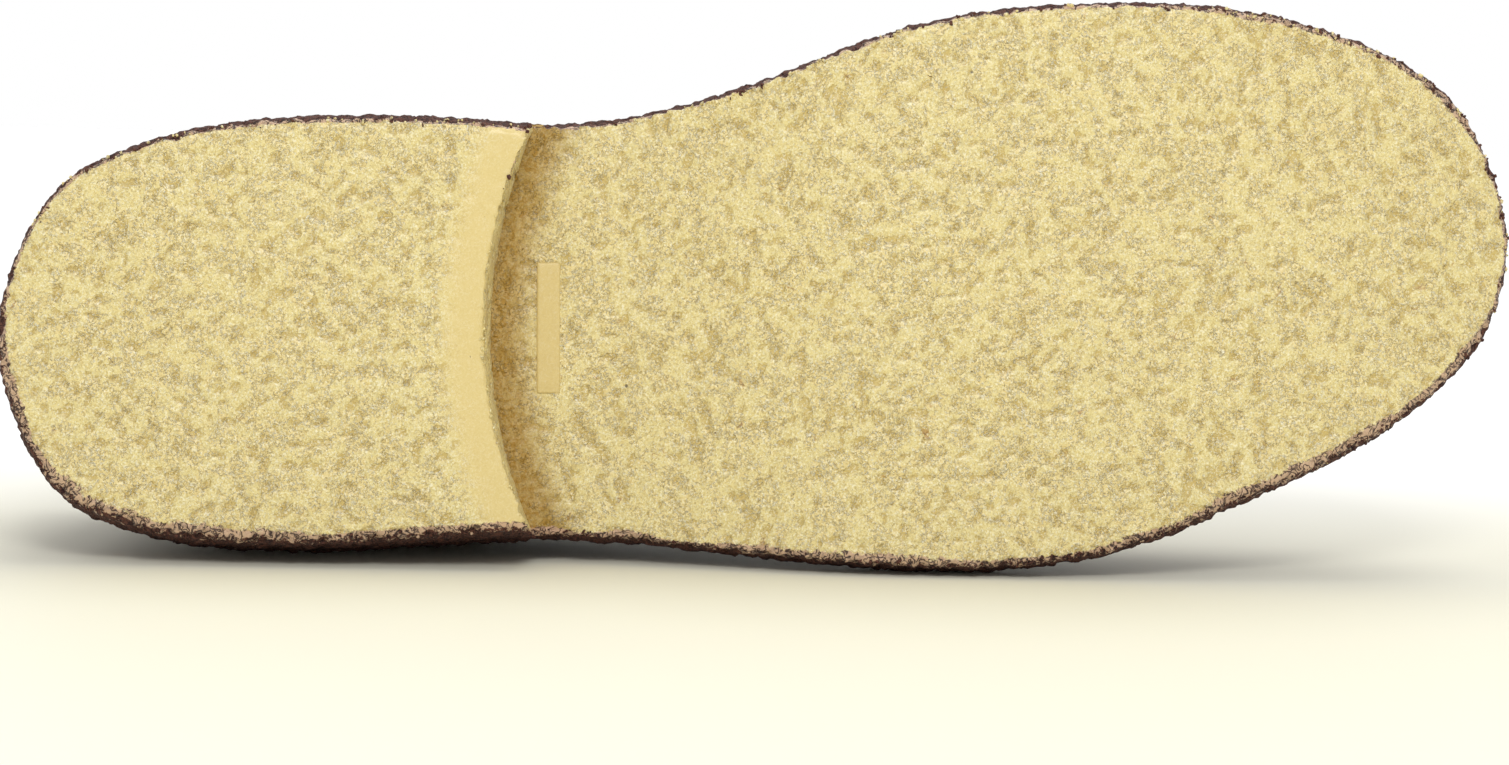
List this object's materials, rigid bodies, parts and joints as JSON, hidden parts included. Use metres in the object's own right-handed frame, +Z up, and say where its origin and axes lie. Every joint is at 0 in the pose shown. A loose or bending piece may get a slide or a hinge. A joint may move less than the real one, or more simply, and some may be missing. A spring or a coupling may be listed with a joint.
{
  "type": "lace-up shoe",
  "caption": "Low lace-up shoe on a thick crepe rubber sole, with a glued heel lift whose breast is concave, open quarters and straight bars of lace, lying on its outer side.",
  "frame": {"origin": "middle of the underside of the bounding box, on the floor that the shoe lies on", "axes": "+X from heel to toe, +Z up out of the floor, -Y the way the sole faces, +Y the way the collar opens"},
  "size_m": [0.2996, 0.1014, 0.1123],
  "materials": {
    "crepe": "crumbed crepe rubber, satin, dyed dark brown on its side edge",
    "midsole": "dark brown, matte",
    "lining": "tan, smooth",
    "suede": "dark brown suede, napped",
    "eyelet": "dark antique brass",
    "lace": "braided cotton, dark brown"
  },
  "bodies": {
    "root": {"outsole": "crepe", "heel_lift": "crepe", "midsole": "midsole", "insole": "lining", "upper": "suede", "tongue": "suede", "eyelet_outer_1": "eyelet", "eyelet_outer_2": "eyelet", "eyelet_outer_3": "eyelet", "eyelet_inner_1": "eyelet", "eyelet_inner_2": "eyelet", "eyelet_inner_3": "eyelet", "lace_bar_1": "lace", "lace_bar_2": "lace", "lace_bar_3": "lace"}
  },
  "joints": []
}
